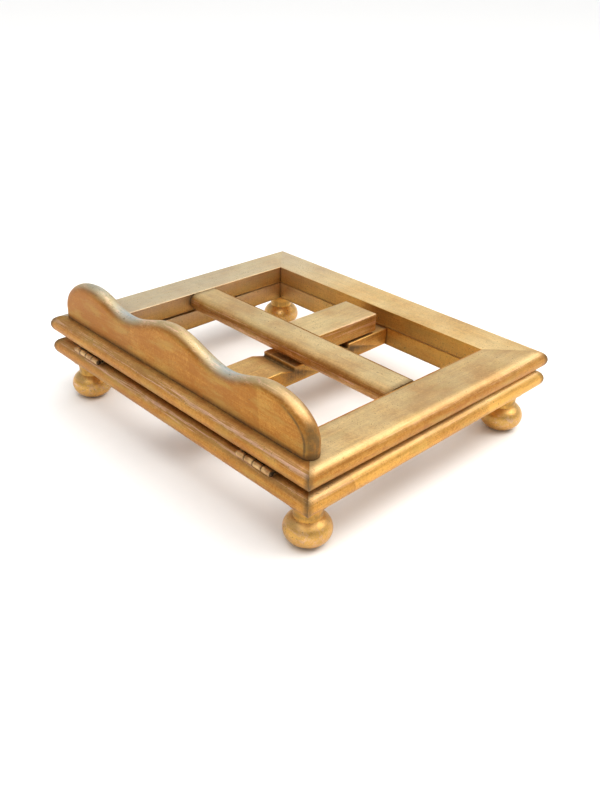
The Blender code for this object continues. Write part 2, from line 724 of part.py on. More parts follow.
def add_prop(gilt, pivot):
    """The T-shaped prop, measured from its pivot axis: the stem is tenoned into the crossbar."""
    half_thickness = TOP_THICKNESS / 2
    section = bullnose_section(CROSSBAR_WIDTH, TOP_THICKNESS)
    rings = []
    for x in (-CROSSBAR_LENGTH / 2, CROSSBAR_LENGTH / 2):
        rings.append([(x, y - half_thickness, z - half_thickness) for y, z in section])
    bm = bmesh.new()
    loft(bm, rings)
    crossbar = add_object("crossbar", finish_mesh("crossbar", bm, gilt), parent=pivot)

    back = CROSSBAR_WIDTH - half_thickness
    shoulder = back + FIT_GAP
    tenon_half = STEM_TENON_THICKNESS / 2
    bm = bmesh.new()
    rings = [
        rectangle_ring(shoulder - STEM_TENON_LENGTH, STEM_TENON_WIDTH, -tenon_half, tenon_half),
        rectangle_ring(shoulder, STEM_TENON_WIDTH, -tenon_half, tenon_half),
        rectangle_ring(shoulder, STEM_WIDTH, -half_thickness, half_thickness),
        rectangle_ring(STEM_END_Y - PIVOT_Y, STEM_WIDTH, -half_thickness, half_thickness),
    ]
    loft(bm, rings)
    add_object("prop_stem", finish_mesh("prop_stem", bm, gilt), parent=pivot)

    bm = bmesh.new()
    add_pivot_holes(bm, 0.0, 0.0)
    depth = STEM_TENON_LENGTH + CUT_MARGIN
    middle = back + CUT_MARGIN - depth / 2
    size = (STEM_TENON_WIDTH + 2 * FIT_GAP, depth, STEM_TENON_THICKNESS + 2 * FIT_GAP)
    add_block(bm, (0.0, middle, 0.0), size)
    cut(crossbar, add_cutter("prop_joint_cutter", bm, pivot))


def main():
    clear_scene()
    gilt = make_material(*GILT_FINISH)
    wood = make_material(*WOOD_FINISH)
    brass = make_material(*BRASS_FINISH)
    steel = make_material(*STEEL_FINISH)
    hinge = add_empty("frame_hinge_axis", HINGE_AXIS, tilt=-CLOSED_TILT)
    pivot = add_empty("prop_pivot_axis", (0.0, PIVOT_Y - HINGE_AXIS_Y, TOP_MIDDLE), hinge)
    add_base(gilt, wood)
    add_top_frame(gilt, wood, steel, hinge)
    add_hinges(brass, steel, hinge)
    add_pivot_pins(steel, hinge)
    add_prop(gilt, pivot)


main()
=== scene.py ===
"""Looks of the gilded folding book stand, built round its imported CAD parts. Metres, +Z up."""

import json
import math

import bmesh
import bpy
from mathutils import Matrix, Vector, noise


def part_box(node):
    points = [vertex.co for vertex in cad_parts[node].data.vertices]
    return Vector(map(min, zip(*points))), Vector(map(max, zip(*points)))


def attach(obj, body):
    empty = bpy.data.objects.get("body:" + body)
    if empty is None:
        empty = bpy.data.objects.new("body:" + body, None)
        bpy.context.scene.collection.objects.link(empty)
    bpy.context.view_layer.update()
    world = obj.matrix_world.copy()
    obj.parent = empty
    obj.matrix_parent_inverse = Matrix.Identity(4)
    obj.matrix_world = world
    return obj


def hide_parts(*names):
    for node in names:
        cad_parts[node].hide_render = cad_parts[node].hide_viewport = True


# Camera: the height of the point it looks at, the angles it looks from, its distance and its lens
CAMERA_TARGET_Z = 0.04375
CAMERA_AZIMUTH = 46.62
CAMERA_ELEVATION = 27.93
CAMERA_ROLL = 0.9
CAMERA_DISTANCE = 0.8013
CAMERA_LENS = 38.73
CAMERA_SHIFT = (0.0101, -0.0398)

# Brightness of the surroundings, which fades from the horizon up over a band of sines of elevation
HORIZON_BAND = (0.12, 0.36)
HORIZON_GLOW = 1.05
ZENITH_GLOW = 0.36

# Lights, as azimuth and elevation in degrees, size, power and colour
SOFTBOX_DISTANCE = 2.2
SOFTBOXES = {
    "softbox_back_left": (225, 30, 1.1, 3, (0.70, 0.86, 1.0)),
    "softbox_back_right": (140, 50, 1.4, 23, (1.0, 0.97, 0.92)),
    "softbox_front_left": (300, 40, 1.5, 2, (1.0, 0.93, 0.86)),
    "softbox_front_top": (25, 64, 1.5, 20, (1.0, 0.98, 0.94)),
}
SKYLIGHT_STRENGTH = 2.3
SKYLIGHT_SPREAD = 70
SKYLIGHT_LEAN = (-12, 8)
FLOOR_HALF_SIZE = 40.0

# Wood: eased edges, steps along curves and faces, and the slight unevenness of brushed gesso
EDGE_RADIUS = 0.0006
EDGE_STEPS = 3
ROUND_STEPS = 20
FACE_STEPS = 8
STATION_GAP = 0.006
RAIL_JOINT_GAP = 0.00002
WAVE_DEPTH = 0.00007
WAVE_SIZE = 0.030
SHARP_ANGLE = 40

# Book ledge: heights and places of its lobes and dips, from its foot and its middle
LEDGE_LOBE_X = 0.1174
LEDGE_SIDE_HEIGHT = 0.0415
LEDGE_DIP_X = 0.066
LEDGE_DIP_HEIGHT = 0.0310
LEDGE_END_STRAIGHT = 0.010
LEDGE_WAVE_STEPS = 33
LEDGE_FACE_ROWS = 9

# Notches in the plank
NOTCH_COUNT = 4
NOTCH_PITCH = 0.0233
FIRST_WALL_Y = -0.0164
NOTCH_RAMP = 0.0150
NOTCH_DEPTH = 0.0044
NOTCH_ROOT_RADIUS = 0.0008
NOTCH_NOSE_RADIUS = 0.0012
NOTCH_ARC_STEPS = 8

# Feet, from the table up: flattened ball, neck, cove and collar
FOOT_SOLE_RADIUS = 0.0075
BALL_HALF_HEIGHT = 0.0142
NECK_RADIUS = 0.0115
NECK_HEIGHT = 0.0035
COLLAR_RADIUS = 0.0165
COLLAR_HEIGHT = 0.0030
BALL_STEPS = 36
COVE_STEPS = 12
FOOT_SEGMENTS = 96

# Hinges
KNUCKLE_COUNT = 4
KNUCKLE_GAP = 0.0003
KNUCKLE_RADIUS = 0.0025
KNUCKLE_BORE = 0.0014
KNUCKLE_GRIME = 0.0012
KNUCKLE_SEGMENTS = 48
LEAF_CLEARANCE = 0.0004
LEAF_HEIGHTS = (-0.0022, -0.0010)
METAL_EDGE = 0.00018
PIN_RADIUS = 0.0011
PIN_HEAD_LENGTH = 0.0005
PIN_SEGMENTS = 32

# Screws: shares of the head's radius, then depths in metres
SHANK_SHARE = 0.5
TIP_SHARE = 0.15
SLOT_REACH = 0.84
SLOT_HALF_WIDTH = 0.15
SLOT_DEPTH = 0.0005
HEAD_RISE = 0.00015
SCREW_SEGMENTS = 48

# Tones of the gilding, linear
GOLD_DEEP = (0.36, 0.138, 0.021)
GOLD_LIGHT = (0.79, 0.43, 0.092)
# The pale gold below is both the pale of rubbed leaf and the painted reflection of the bright sky on upward faces
GOLD_PALE_SHEEN_AND_WEAR = (0.68, 0.53, 0.28)
GOLD_GREEN = (0.46, 0.31, 0.075)
# A grey-blue that paints a cool reflection of the bluish light on crests and tops
COOL_SHEEN_TONE = (0.37, 0.43, 0.44)
BOLE = (0.25, 0.10, 0.032)
UMBER = (0.17, 0.095, 0.030)
PATINA = (0.095, 0.055, 0.018)
RUBBED = (0.88, 0.57, 0.42)

# The sheets of leaf, laid one after another along each piece, and how their tones differ
LEAF_SIZE = 0.082
LEAF_SLANT = 0.12
GOLDEN_SHARE = 0.618
FIRST_SHEET_TONE = 0.75
PLAIN_LEAF = (0.0, 0.09)
LEAF_EDGES = {"base_right_rail": (-0.098, 0.31), "top_right_rail": (-0.024, -0.13)}

# Tone, paleness of the top (a painted reflection of the bright sky) and wear of the crest of each rail
RAIL_LOOKS = {
    "front": (0.38, 0.14, 1.0),
    "right": (0.49, 0.60, 0.4),
    "back": (0.62, 0.60, 0.5),
    "left": (0.56, 0.60, 0.5),
}

# Painted cool reflection on the tops on the stand's left: how strong, and how far it reaches from the rail's +X
# end
RAIL_COOL_SHEEN = {"back": (0.35, 0.17), "left": (0.40, 0.60)}


def box_in(place, *nodes):
    """Lowest and highest corners of CAD nodes, measured along place's own axes."""
    back = place.inverted()
    points = [back @ v.co for node in nodes for v in frame["nodes"][node].data.vertices]
    lo = Vector(min(p[i] for p in points) for i in range(3))
    hi = Vector(max(p[i] for p in points) for i in range(3))
    return lo, hi


def joint_place(name, tilt):
    """A joint's point, with axes that follow the top frame's slope at rest."""
    joint = next(j for j in frame["joints"] if j["name"] == name)
    return Matrix.Translation(joint["pos_m"]) @ Matrix.Rotation(-tilt, 4, "X")


def closed_tilt():
    """How far the closed top frame leans forward, from the direction its flat top faces."""
    bed = next(m for m in frame["record"]["mounts"] if m["name"] == "book_bed")
    return math.atan2(bed["axis"][1], bed["axis"][2])


# ---------------------------------------------------------------- mesh helpers


def arc(centre, radius_a, radius_b, start, end, steps):
    """Points on part of an ellipse, with the angles in degrees."""
    angles = [math.radians(start + (end - start) * i / steps) for i in range(steps + 1)]
    return [(centre[0] + radius_a * math.cos(a), centre[1] + radius_b * math.sin(a)) for a in angles]


def eased_corner(corner, start):
    """A small round in place of a square corner, from the angle start on, anticlockwise."""
    turn = math.radians(start + 45)
    reach = EDGE_RADIUS * math.sqrt(2)
    centre = (corner[0] - reach * math.cos(turn), corner[1] - reach * math.sin(turn))
    return arc(centre, EDGE_RADIUS, EDGE_RADIUS, start, start + 90, EDGE_STEPS)


def grid(bm, rows, closed=False):
    """Faces between rows of points. Closed rows are rings."""
    made = [[bm.verts.new(point) for point in row] for row in rows]
    for first, second in zip(made, made[1:]):
        count = len(first)
        for i in range(count if closed else count - 1):
            j = (i + 1) % count
            bm.faces.new((first[i], first[j], second[j], second[i]))
    return made


def loft(bm, rings):
    """A closed solid through rings of points."""
    made = grid(bm, rings, closed=True)
    bm.faces.new(made[0])
    bm.faces.new(made[-1])


def turned(profile, segments):
    """Spins (radius, height) points about Z. The profile starts and ends on the axis."""
    bm = bmesh.new()
    low = bm.verts.new((0.0, 0.0, profile[0][1]))
    high = bm.verts.new((0.0, 0.0, profile[-1][1]))
    rings = []
    for radius, height in profile[1:-1]:
        turns = [2 * math.pi * i / segments for i in range(segments)]
        rings.append([(radius * math.cos(a), radius * math.sin(a), height) for a in turns])
    made = grid(bm, rings, closed=True)
    for i in range(segments):
        j = (i + 1) % segments
        bm.faces.new((low, made[0][j], made[0][i]))
        bm.faces.new((high, made[-1][i], made[-1][j]))
    return bm


def hand_finish(bm, seed):
    """Makes a surface very slightly uneven, as brushed gesso under gold leaf is."""
    bm.normal_update()
    offset = Vector((seed * 3.7, seed * 1.9, seed * 5.3))
    moves = []
    for vert in bm.verts:
        height = noise.noise(vert.co / WAVE_SIZE + offset)
        moves.append((vert, vert.normal * height * WAVE_DEPTH))
    for vert, move in moves:
        vert.co += move


def paint(mesh, name, amount):
    """Stores amount(point) for each vertex, for a material to read."""
    layer = mesh.attributes.new(name, "FLOAT", "POINT")
    layer.data.foreach_set("value", [amount(v.co) for v in mesh.vertices])


def add_piece(name, bm, body, material, place=None, nodes=(), wear=None, grime=None, cool_sheen=None):
    """Turns a bmesh into a piece that rides on a body and stands for CAD nodes."""
    bmesh.ops.recalc_face_normals(bm, faces=bm.faces)
    mesh = bpy.data.meshes.new(name)
    bm.to_mesh(mesh)
    bm.free()
    mesh.shade_smooth()
    mesh.set_sharp_from_angle(angle=math.radians(SHARP_ANGLE))
    mesh.materials.append(material)
    for layer, amount in (("wear", wear), ("grime", grime), ("cool_sheen", cool_sheen)):
        paint(mesh, layer, amount or (lambda point: 0.0))
    obj = bpy.data.objects.new(name, mesh)
    bpy.context.scene.collection.objects.link(obj)
    if place:
        obj.matrix_world = place
    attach(obj, body)
    if nodes:
        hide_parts(*nodes)
    return obj


def near(value, target, reach):
    """1 where value is at target, falling smoothly to 0 a reach away."""
    gap = min(abs(value - target) / reach, 1.0)
    return (1 - gap) ** 2 * (1 + 2 * gap)


# ---------------------------------------------------------------- materials


def scaled(color, share):
    """A colour made darker or lighter by a share."""
    return tuple(value * share for value in color)


class Nodes:
    """Short calls that add the nodes of one material."""

    def __init__(self, name):
        self.material = bpy.data.materials.new(name)
        self.material.use_nodes = True
        self.tree = self.material.node_tree
        self.shader = self.tree.nodes["Principled BSDF"]

    def add(self, kind, inputs=None, **settings):
        """A node, with its settings, and its inputs by name or number."""
        node = self.tree.nodes.new("ShaderNode" + kind)
        for key, value in settings.items():
            setattr(node, key, value)
        for key, value in (inputs or {}).items():
            self.put(node.inputs[key], value)
        return node

    def put(self, socket, value):
        """Links a socket to another's output, or sets its value."""
        if isinstance(value, bpy.types.NodeSocket):
            self.tree.links.new(value, socket)
        else:
            socket.default_value = value

    def math(self, operation, first, second=0.0, clamp=False):
        inputs = {0: first, 1: second}
        return self.add("Math", inputs, operation=operation, use_clamp=clamp).outputs[0]

    def ramp(self, value, low, high, to_low=0.0, to_high=1.0):
        """value from low to high, mapped smoothly on to_low to to_high."""
        inputs = {0: value, 1: low, 2: high, 3: to_low, 4: to_high}
        return self.add("MapRange", inputs, interpolation_type="SMOOTHSTEP").outputs[0]

    def mix(self, share, first, second):
        """A colour that turns from the first into the second as the share grows."""
        first, second = [(*c, 1.0) if isinstance(c, tuple) else c for c in (first, second)]
        inputs = {0: share, 6: first, 7: second}
        return self.add("Mix", inputs, data_type="RGBA").outputs[2]

    def noise(self, vector, scale, detail=2.0, roughness=0.5, distortion=0.0):
        inputs = {"Vector": vector, "Scale": scale, "Detail": detail}
        inputs.update({"Roughness": roughness, "Distortion": distortion})
        return self.add("TexNoise", inputs).outputs["Fac"]

    def weigh(self, *parts):
        """The sum of values, each multiplied by its weight."""
        total = 0.0
        for value, weight in parts:
            total = self.math("ADD", total, self.math("MULTIPLY", value, weight))
        return total

    def stretched(self, vector, scale, seed):
        """The vector scaled along each axis and moved to a place of its own in the noise."""
        inputs = {"Vector": vector, "Location": (seed * 1.7, seed * 2.3, seed * 0.9), "Scale": scale}
        return self.add("Mapping", inputs).outputs[0]

    def attribute(self, name):
        return self.add("Attribute", attribute_name=name).outputs["Fac"]

    def set(self, **inputs):
        """Sets the shader's inputs, with underscores in place of spaces in their names."""
        for key, value in inputs.items():
            self.put(self.shader.inputs[key.replace("_", " ")], value)


def leaf_textures(n, local, seed):
    """The noises that the gilding shares, from long brush strokes to fine grain."""
    point = n.stretched(local, (1.0, 1.0, 1.0), seed)
    return {
        "brushed": n.noise(n.stretched(point, (11.0, 330.0, 330.0), seed), 1.0, 5.0, 0.62, 0.3),
        "fibres": n.noise(n.stretched(point, (45.0, 1500.0, 1500.0), seed), 1.0, 3.0, 0.6),
        "upright": n.noise(n.stretched(point, (700.0, 700.0, 30.0), seed), 1.0, 4.0, 0.65),
        "green": n.noise(n.stretched(point, (30.0, 110.0, 110.0), seed + 4.0), 1.0, 4.0, 0.6),
        "patches": n.noise(point, 26.0, 3.0, 0.55),
        "mottle": n.noise(point, 170.0, 4.0, 0.6),
        "grain": n.noise(point, 480.0, 5.0, 0.72),
    }


def leaf_sheets(n, local, leaf_edge):
    """A tone from 0 to 1 for each sheet of leaf along a piece, with slanting seams."""
    along, across, height = n.add("SeparateXYZ", {0: local}).outputs
    slant = n.math("MULTIPLY", n.math("ADD", across, height), LEAF_SLANT)
    place = n.math("ADD", n.math("SUBTRACT", along, leaf_edge), slant)
    sheet = n.math("FLOOR", n.math("DIVIDE", place, LEAF_SIZE))
    return n.math("FRACT", n.math("ADD", n.math("MULTIPLY", sheet, GOLDEN_SHARE), FIRST_SHEET_TONE))


def leaf_color(n, textures, sheets, tone, contrast):
    """How light the leaf is at each point, and its gold, which turns greenish in places."""
    shares = {"brushed": 0.45, "fibres": 0.35, "patches": 0.45, "mottle": 0.30, "grain": 0.95}
    parts = [(textures[name], share) for name, share in shares.items()]
    light = n.weigh(*parts, (sheets, contrast))
    light = n.ramp(n.math("ADD", light, tone - 0.5), 0.96, 1.73)
    color = n.mix(light, GOLD_DEEP, GOLD_LIGHT)
    greenish = n.ramp(textures["green"], 0.46, 0.70)
    return light, n.mix(n.math("MULTIPLY", greenish, 0.45), color, GOLD_GREEN)


def faded(n, color, textures, light, top, top_sheen):
    """The colour with rubbed crests and red bole showing through, and with painted reflections: pale tops for the
    bright sky, cool grey-blue spots for the bluish light.
    """
    patches, mottle = textures["patches"], textures["mottle"]
    # Painted sky reflection: faces that look up are turned pale, by each piece's paleness setting
    top_sheen_share = n.math("MULTIPLY", top, n.ramp(patches, 0.30, 0.70, top_sheen * 0.75, top_sheen * 1.25), True)
    top_sheen_tint = n.mix(light, scaled(GOLD_PALE_SHEEN_AND_WEAR, 0.74), scaled(GOLD_PALE_SHEEN_AND_WEAR, 1.16))
    color = n.mix(top_sheen_share, color, top_sheen_tint)

    # Painted cool reflection: crests and tops turned grey-blue
    cool_sheen_share = n.math("MULTIPLY", n.attribute("cool_sheen"), n.ramp(mottle, 0.25, 0.55, 0.7, 1.0))
    color = n.mix(cool_sheen_share, color, COOL_SHEEN_TONE)

    wear = n.attribute("wear")
    color = n.mix(n.math("MULTIPLY", wear, 0.14), color, GOLD_PALE_SHEEN_AND_WEAR)
    streaks = n.weigh((textures["brushed"], 0.7), (textures["fibres"], 0.5), (mottle, 0.2))
    rub = n.math("MULTIPLY", wear, n.ramp(streaks, 0.70, 0.84))
    color = n.mix(n.math("MULTIPLY", rub, 0.75, True), color, RUBBED)

    spots = n.weigh((mottle, 0.6), (textures["brushed"], 0.4), (wear, 0.10))
    return n.mix(n.math("MULTIPLY", n.ramp(spots, 0.60, 0.74), 0.30), color, BOLE)


def soiled(n, color, textures):
    """How dirty each point is, and the colour with that dirt: specks, scratches and streaky stains."""
    grime = n.attribute("grime")
    patches = textures["patches"]
    speck = n.ramp(n.weigh((textures["grain"], 1.0), (patches, 0.16), (grime, 0.12)), 0.668, 0.738)
    scratch = n.ramp(n.weigh((textures["fibres"], 1.0), (patches, 0.12)), 0.74, 0.82)
    streaky = n.weigh((textures["mottle"], 0.45), (textures["brushed"], 0.25), (textures["upright"], 0.30))
    stain = n.math("MULTIPLY", grime, n.ramp(streaky, 0.38, 0.56, 0.30, 1.0))
    color = n.mix(n.math("MULTIPLY", stain, 1.3, True), color, UMBER)
    dirt = n.math("MAXIMUM", n.math("MULTIPLY", stain, 0.75), n.math("MULTIPLY", speck, 0.6))
    dirt = n.math("MAXIMUM", dirt, n.math("MULTIPLY", scratch, 0.4))
    return dirt, n.mix(dirt, color, PATINA)


def gilding(name, seed, tone, top_sheen, leaf=PLAIN_LEAF, rough=0.33):
    """Aged gold leaf on red bole. leaf holds the place of one seam and the contrast of the sheets."""
    n = Nodes(name)
    coords = n.add("TexCoord")
    local = coords.outputs["Object"]
    up = n.add("SeparateXYZ", {0: coords.outputs["Normal"]}).outputs[2]
    # How much a face looks up: it drives the painted sky reflection on the tops, and a little more roughness
    top = n.ramp(up, 0.48, 0.96)
    leaf_edge, contrast = leaf
    textures = leaf_textures(n, local, seed)
    light, color = leaf_color(n, textures, leaf_sheets(n, local, leaf_edge), tone, contrast)
    color = faded(n, color, textures, light, top, top_sheen)
    dirt, color = soiled(n, color, textures)

    brushed, mottle = textures["brushed"], textures["mottle"]
    uneven = n.weigh((brushed, 0.14), (mottle, 0.12), (dirt, 0.22), (top, 0.06))
    roughness = n.math("ADD", uneven, rough, True)
    metallic = n.math("SUBTRACT", 0.90, n.math("MULTIPLY", dirt, 0.4), True)
    relief = n.weigh((brushed, 0.7), (textures["fibres"], 0.4), (textures["grain"], 0.6), (mottle, 0.6))
    bump = n.add("Bump", {"Strength": 0.34, "Distance": 0.0004, "Height": relief})
    n.set(Base_Color=color, Roughness=roughness, Metallic=metallic, Normal=bump.outputs[0])
    return n.material


def bare_wood():
    """Planed wood in the joints."""
    n = Nodes("bare_wood_grain")
    point = n.add("TexCoord").outputs["Object"]
    rings = n.noise(n.stretched(point, (30.0, 30.0, 400.0), 3.0), 1.0, 4.0, 0.6, 1.2)
    pores = n.noise(n.stretched(point, (90.0, 90.0, 1600.0), 5.0), 1.0, 3.0, 0.6)
    color = n.mix(n.ramp(rings, 0.3, 0.7), (0.36, 0.21, 0.10), (0.58, 0.40, 0.22))
    color = n.mix(n.ramp(pores, 0.60, 0.75, 0.0, 0.5), color, (0.17, 0.09, 0.04))
    bump = n.add("Bump", {"Strength": 0.3, "Distance": 0.0002, "Height": pores})
    n.set(Base_Color=color, Roughness=n.ramp(rings, 0.2, 0.8, 0.58, 0.75), Normal=bump.outputs[0])
    return n.material


def worn_metal(name, dark, light, metallic):
    """Dull metal with scratches and tarnish, and old dirt in the joints of a hinge."""
    n = Nodes(name)
    point = n.add("TexCoord").outputs["Object"]
    tarnish = n.noise(point, 260.0, 4.0, 0.6)
    scratches = n.noise(n.stretched(point, (60.0, 2600.0, 2600.0), 2.0), 1.0, 3.0, 0.7)
    color = n.mix(n.ramp(tarnish, 0.35, 0.68), dark, light)
    color = n.mix(n.ramp(scratches, 0.62, 0.75, 0.0, 0.4), color, PATINA)
    color = n.mix(n.math("MULTIPLY", n.attribute("grime"), 0.9), color, PATINA)
    rough = n.ramp(tarnish, 0.2, 0.8, 0.30, 0.55)
    bump = n.add("Bump", {"Strength": 0.2, "Distance": 0.0001, "Height": scratches})
    n.set(Base_Color=color, Roughness=rough, Normal=bump.outputs[0], Metallic=metallic)
    return n.material


# ---------------------------------------------------------------- wooden pieces


def between(first, second, steps):
    """Points that divide the straight line between two points, without its ends."""
    shares = [i / steps for i in range(1, steps)]
    return [tuple(a + (b - a) * share for a, b in zip(first, second)) for share in shares]


def bullnose_section(width, thickness):
    """(distance in from the outer edge, height) round a strip with a half-round outer edge."""
    radius = thickness / 2
    section = arc((radius, radius), radius, radius, 270, 90, ROUND_STEPS)
    section += between((radius, thickness), (width, thickness), FACE_STEPS)
    section += [(width - y, z) for y, z in reversed(eased_corner((0.0, thickness), 90))]
    section += [(width - y, z) for y, z in reversed(eased_corner((0.0, 0.0), 180))]
    section += between((width, 0.0), (radius, 0.0), FACE_STEPS)
    return section


def upper_section(half, high):
    """(x, z) from right to left over the top of a square-edged bar."""
    right, left = (half, high), (-half, high)
    return eased_corner(right, 0) + between(right, left, FACE_STEPS) + eased_corner(left, 90)


def lower_section(half, low):
    """(x, z) from left to right under a square-edged bar."""
    left, right = (-half, low), (half, low)
    return eased_corner(left, 180) + between(left, right, FACE_STEPS) + eased_corner(right, 270)


def rail_rings(length, width, thickness):
    """Rings along a mitred rail, whose length is along X and whose outer edge is at y = 0."""
    section = bullnose_section(width, thickness)
    stations = max(8, round(length / STATION_GAP))
    rings = []
    for i in range(stations + 1):
        share = 2 * i / stations - 1
        rings.append([(share * (length / 2 - y - RAIL_JOINT_GAP), y, z) for y, z in section])
    return rings


def add_rail(node, side, number, body, spot, size):
    """One mitred rail, rubbed along its upper outer edge and dirty in its mitres."""
    length, width, thickness = size
    radius = thickness / 2
    half = length / 2
    prefix = node.split("_")[0]
    tone, top_sheen, crest = RAIL_LOOKS[side]
    sheen_strength, sheen_reach = RAIL_COOL_SHEEN.get(side, (0.0, 1.0))
    bm = bmesh.new()
    loft(bm, rail_rings(length, width, thickness))
    hand_finish(bm, number + 1 + 10 * len(prefix))

    def wear(point):
        edge = near(point.y, radius * 0.3, radius * 0.5)
        return crest * edge * near(point.z, radius * 1.7, radius * 0.6)

    def grime(point):
        mitre = near(abs(point.x), half - point.y, 0.0009) * near(point.y, 0.0, radius * 1.2)
        inner = near(point.y, width, 0.0025) * near(point.z, 0.0, 0.005)
        return max(mitre * 0.7, inner * 0.3)

    # Painted cool reflection on the top, fading away from the rail's +X end
    def cool_sheen(point):
        return sheen_strength * near(point.z, thickness, radius) * near(point.x, half, sheen_reach)

    leaf = LEAF_EDGES.get(node, PLAIN_LEAF)
    skin = gilding(f"gilding_{prefix}_{side}", number * 2.31 + len(prefix), tone, top_sheen, leaf)
    add_piece(f"gilt_{node}", bm, body, skin, spot, [node], wear, grime, cool_sheen)


def add_rails(prefix, place, body):
    """The four mitred rails of one frame, each turned a quarter from the one before."""
    sides = ("front", "right", "back", "left")
    nodes = [f"{prefix}_{side}_rail" for side in sides]
    lo, hi = box_in(place, *nodes)
    front_lo, front_hi = box_in(place, nodes[0])
    width = front_hi.y - front_lo.y
    thickness = front_hi.z - front_lo.z
    middle = place @ Matrix.Translation(((lo.x + hi.x) / 2, (lo.y + hi.y) / 2, lo.z))
    for number, (side, node) in enumerate(zip(sides, nodes)):
        length, reach = (hi.x - lo.x, hi.y - lo.y)
        if number % 2:
            length, reach = reach, length
        spin = Matrix.Rotation(math.radians(90 * number), 4, "Z")
        spot = middle @ spin @ Matrix.Translation((0.0, -reach / 2, 0.0))
        add_rail(node, side, number, body, spot, (length, width, thickness))


def ledge_outline(half, middle_height):
    """(x, z) over the ledge's top from its right foot to its left foot."""
    end_reach = half - LEDGE_LOBE_X
    end_rise = LEDGE_SIDE_HEIGHT - LEDGE_END_STRAIGHT
    right = [(half, 0.0), (half, LEDGE_END_STRAIGHT / 2)]
    right += arc((LEDGE_LOBE_X, LEDGE_END_STRAIGHT), end_reach, end_rise, 0, 90, LEDGE_WAVE_STEPS)
    right += wave((LEDGE_LOBE_X, LEDGE_SIDE_HEIGHT), (LEDGE_DIP_X, LEDGE_DIP_HEIGHT))
    right += wave((LEDGE_DIP_X, LEDGE_DIP_HEIGHT), (0.0, middle_height))
    left = [(-x, z) for x, z in reversed(right[:-1])]
    return right + left


def wave(start, end):
    """Half a cosine wave between two level points, without the first of them."""
    points = []
    for i in range(1, LEDGE_WAVE_STEPS + 1):
        part = i / LEDGE_WAVE_STEPS
        ease = (1 - math.cos(math.pi * part)) / 2
        points.append((start[0] + (end[0] - start[0]) * part, start[1] + (end[1] - start[1]) * ease))
    return points


def inset_outline(points, distance):
    """The outline moved inwards, with its two feet kept on z = 0."""
    moved = []
    for i, (x, z) in enumerate(points):
        before = Vector(points[max(i - 1, 0)])
        after = Vector(points[min(i + 1, len(points) - 1)])
        along = (after - before).normalized()
        moved.append((x - along.y * distance, max(z + along.x * distance, 0.0)))
    moved[0] = (points[0][0] - distance, 0.0)
    moved[-1] = (points[-1][0] + distance, 0.0)
    return moved


def ledge_rows(half, radius, height):
    """Rows of points from the front face's foot over the rounded top to the back face's foot."""
    outline = ledge_outline(half, height)
    edge = inset_outline(outline, radius)
    foot_half = edge[0][0]
    last = len(edge) - 1
    front = []
    for row in range(LEDGE_FACE_ROWS):
        share = row / LEDGE_FACE_ROWS
        line = []
        for i, (x, z) in enumerate(edge):
            foot_x = foot_half * (1 - 2 * i / last)
            line.append((foot_x + (x - foot_x) * share, -radius, z * share))
        front.append(line)
    back = [[(x, -y, z) for x, y, z in line] for line in reversed(front)]
    nose = []
    for y, inset in arc((0.0, radius), radius, -radius, 180, 0, ROUND_STEPS):
        nose.append([(x, y, z) for x, z in inset_outline(outline, inset)])
    return front + nose + back


def add_ledge(place):
    """The lobed board on edge: flat front and back faces, with a half-round along its top and ends."""
    lo, hi = box_in(place, "book_ledge")
    radius = (hi.y - lo.y) / 2
    bm = bmesh.new()
    half = (hi.x - lo.x) / 2
    made = grid(bm, ledge_rows(half, radius, hi.z - lo.z))
    right_ends = [row[0] for row in made[1:-1]]
    left_ends = [row[-1] for row in made[1:-1]]
    bm.faces.new(made[0] + left_ends + made[-1][::-1] + right_ends[::-1])
    hand_finish(bm, 4)

    def wear(point):
        shoulder = near(point.y, -radius * 0.3, radius * 0.7)
        high = 0.5 + 0.5 * near(point.z, LEDGE_SIDE_HEIGHT, 0.02)
        return shoulder * high * (1.0 - 0.8 * near(point.x, half, 0.08))

    def grime(point):
        rim = near(point.y, 0.0004 - radius, 0.0004) * near(point.x, half, 0.045) * 0.9
        flank = near(point.x, half, 0.017) * near(point.y, -radius * 0.3, 0.0085)
        smudge = min(flank * near(point.z, 0.014, 0.024), 0.55)
        # Darker along the foot, where the ledge meets the rail
        foot = near(point.z, 0.0, 0.0045) * (0.75 + 0.25 * near(point.x, half, 0.15))
        return max(foot, rim, smudge)

    # Painted cool reflection along the crest, at the dips and the left lobe
    def cool_sheen(point):
        crest = near(point.y, 0.0, radius * 1.08)
        dip = near(abs(point.x), LEDGE_DIP_X, 0.034)
        left_end = near(point.x, -LEDGE_LOBE_X, 0.035) * 0.6
        return crest * max(dip, left_end)

    spot = place @ Matrix.Translation(((lo.x + hi.x) / 2, (lo.y + hi.y) / 2, lo.z))
    skin = gilding("gilding_ledge", 7.7, 0.21, 0.80, (-0.052, 0.19))
    add_piece("gilt_book_ledge", bm, "top_frame", skin, spot, ["book_ledge"], wear, grime, cool_sheen)


def add_crossbar(place):
    """The prop's crossbar, whose front edge is a half-round about the pivot."""
    lo, hi = box_in(place, "crossbar")
    radius = (hi.z - lo.z) / 2
    section = bullnose_section(hi.y - lo.y, hi.z - lo.z)
    stations = round((hi.x - lo.x) / STATION_GAP)
    rings = []
    for i in range(stations + 1):
        x = lo.x + (hi.x - lo.x) * i / stations
        rings.append([(x, y, z) for y, z in section])
    bm = bmesh.new()
    loft(bm, rings)
    hand_finish(bm, 5)

    def wear(point):
        return near(point.y, 0.0, radius) * near(point.z, radius, radius)

    def grime(point):
        return near(abs(point.x), hi.x, 0.004) * 0.6

    spot = place @ Matrix.Translation((0.0, lo.y, lo.z))
    skin = gilding("gilding_crossbar", 9.1, 0.43, 0.68)
    add_piece("gilt_crossbar", bm, "prop", skin, spot, ["crossbar"], wear, grime)


